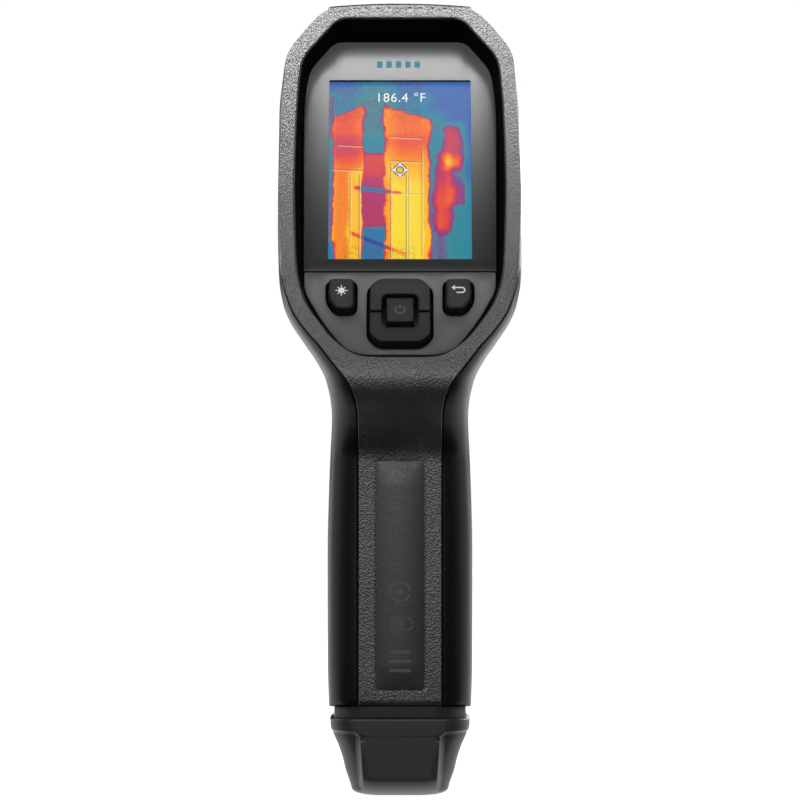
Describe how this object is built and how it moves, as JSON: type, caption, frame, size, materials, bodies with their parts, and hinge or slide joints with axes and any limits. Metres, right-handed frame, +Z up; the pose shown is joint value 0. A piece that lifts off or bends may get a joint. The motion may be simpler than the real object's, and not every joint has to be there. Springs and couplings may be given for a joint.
{
  "type": "thermal imaging camera",
  "caption": "Pistol-grip thermal imaging camera with a tilted rear screen and keys, a trigger, front optics and lamp, a port flap and a tripod thread in the handle.",
  "frame": {"origin": "mouth of the tripod thread, in the middle of the flat underside of the end cap", "axes": "+Z up the handle, along the tripod thread; +Y forwards along the optical axis; -Y towards the user, where the screen faces; +X to the right of the user"},
  "size_m": [0.064, 0.081, 0.2092],
  "materials": {
    "cover_plastic": "dark grey spark-textured PC-ABS",
    "body_plastic": "black fine-textured PC-ABS",
    "bezel_plastic": "black satin plastic",
    "grip_rubber": "black soft-touch rubber",
    "label_film": "dark grey printed film",
    "window_glass": "black-bordered clear window",
    "lamp_optic": "clear moulded lamp optic",
    "foam": "black adhesive foam",
    "lcd_glass": "lit display panel",
    "panel_plastic": "smooth dark grey plastic",
    "key_plastic": "smooth black plastic with printed marks",
    "trigger_plastic": "black plastic, fine texture",
    "steel": "bright plated steel",
    "brass": "turned brass",
    "circuit_board": "green solder mask",
    "chip_plastic": "black moulded chip package",
    "flex_film": "amber polyimide film",
    "germanium": "coated germanium",
    "barrel_metal": "black anodised aluminium",
    "shutter_coating": "matt black coating",
    "inner_plastic": "dark moulded plastic",
    "cell_wrap": "blue heat-shrink film round the can",
    "wire_insulation": "silicone wire insulation"
  },
  "bodies": {
    "housing": {"rear_cover": "cover_plastic", "front_body": "body_plastic", "front_bezel": "bezel_plastic", "grip_pad": "grip_rubber", "end_cap": "body_plastic", "end_cap_seal": "grip_rubber", "tripod_insert": "brass", "end_cap_screws": "steel", "lanyard_pin": "steel", "handle_label": "label_film", "display_window": "window_glass", "display_gasket": "foam", "lcd_panel": "lcd_glass", "lcd_frame": "steel", "display_flex": "flex_film", "button_panel": "panel_plastic", "keypad_mat": "grip_rubber", "keypad_domes": "steel", "keypad_board": "circuit_board", "main_board": "circuit_board", "main_processor": "chip_plastic", "memory_chip": "chip_plastic", "shield_can": "steel", "usb_connector": "steel", "thermal_lens": "germanium", "lens_barrel": "barrel_metal", "lens_retaining_ring": "steel", "thermal_core": "barrel_metal", "thermal_sensor": "chip_plastic", "shutter_motor": "steel", "camera_window": "window_glass", "camera_module": "inner_plastic", "lamp_lens": "lamp_optic", "lamp_board": "circuit_board", "laser_window": "window_glass", "laser_module": "brass", "optics_frame": "inner_plastic", "trigger_pin": "steel", "trigger_bracket": "inner_plastic", "trigger_spring": "steel", "trigger_switch": "inner_plastic", "battery_cell": "cell_wrap", "battery_cradle": "inner_plastic", "battery_foam": "foam", "battery_lead": "wire_insulation", "battery_plug": "inner_plastic", "housing_screws": "steel"},
    "light_button": {"light_button": "key_plastic"},
    "back_button": {"back_button": "key_plastic"},
    "nav_up": {"nav_up": "key_plastic"},
    "nav_down": {"nav_down": "key_plastic"},
    "power_button": {"power_button": "key_plastic"},
    "trigger": {"trigger": "trigger_plastic"},
    "usb_flap": {"usb_flap": "grip_rubber"},
    "shutter_flag": {"shutter_flag": "shutter_coating"}
  },
  "joints": [
    {"name": "light_key_press", "type": "slide", "parent": "housing", "child": "light_button", "axis": [0, 0.891, -0.454], "range_m": [0, 0.0008], "stiffness_N_per_m": 1500, "springref_m": -0.0002},
    {"name": "back_key_press", "type": "slide", "parent": "housing", "child": "back_button", "axis": [0, 0.891, -0.454], "range_m": [0, 0.0008], "stiffness_N_per_m": 1500, "springref_m": -0.0002},
    {"name": "nav_up_press", "type": "slide", "parent": "housing", "child": "nav_up", "axis": [0, 0.891, -0.454], "range_m": [0, 0.0008], "stiffness_N_per_m": 1500, "springref_m": -0.0002},
    {"name": "nav_down_press", "type": "slide", "parent": "housing", "child": "nav_down", "axis": [0, 0.891, -0.454], "range_m": [0, 0.0008], "stiffness_N_per_m": 1500, "springref_m": -0.0002},
    {"name": "power_key_press", "type": "slide", "parent": "housing", "child": "power_button", "axis": [0, 0.891, -0.454], "range_m": [0, 0.0008], "stiffness_N_per_m": 1500, "springref_m": -0.0002},
    {"name": "trigger_pull", "type": "hinge", "parent": "housing", "child": "trigger", "pos_m": [0, 0.016, 0.1395], "axis": [-1, 0, 0], "range_deg": [0, 8], "stiffness_Nm_per_rad": 0.5, "springref_deg": -5.73, "deforming": ["trigger_spring"]},
    {"name": "usb_flap_hinge", "type": "hinge", "parent": "housing", "child": "usb_flap", "pos_m": [0, 0.0112, 0.2083], "axis": [-1, 0, 0], "range_deg": [0, 100]},
    {"name": "shutter_swing", "type": "hinge", "parent": "housing", "child": "shutter_flag", "pos_m": [-0.0095, 0.025, 0.179], "axis": [0, 1, 0], "range_deg": [0, 50]}
  ]
}
